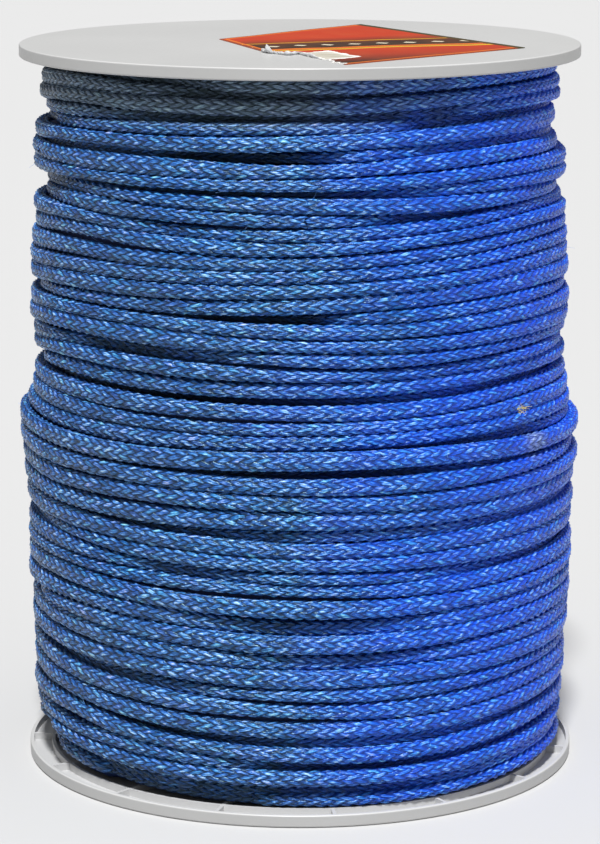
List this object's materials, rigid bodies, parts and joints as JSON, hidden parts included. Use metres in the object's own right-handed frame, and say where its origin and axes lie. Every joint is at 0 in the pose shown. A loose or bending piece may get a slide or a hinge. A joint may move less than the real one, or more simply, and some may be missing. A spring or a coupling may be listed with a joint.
{
  "type": "cord spool",
  "caption": "Two-flange plastic spool standing upright, wound full with blue braided cord, with a slanted orange label on its top face.",
  "frame": {"origin": "centre of the bottom flange's outer face, on the surface that the spool stands on", "axes": "+Z along the spool's axis, from the bottom flange up to the labelled top flange; -Y towards the side that the picture shows, +Y to the back, where the cord's end is taped down"},
  "size_m": [0.203, 0.2035, 0.2602],
  "materials": {
    "flange_plastic": "light grey moulded polystyrene, satin",
    "core_paper": "spiral-wound grey-brown paperboard",
    "blue_cord": "braided blue synthetic cord",
    "clear_tape": "packing tape",
    "label_paper": "printed coated paper"
  },
  "bodies": {
    "root": {"bottom_flange": "flange_plastic", "top_flange": "flange_plastic", "core_tube": "core_paper", "rope_pack": "blue_cord", "rope_turns_lower": "blue_cord", "rope_turns_upper": "blue_cord", "end_tape": "clear_tape", "top_label": "label_paper"}
  },
  "joints": []
}
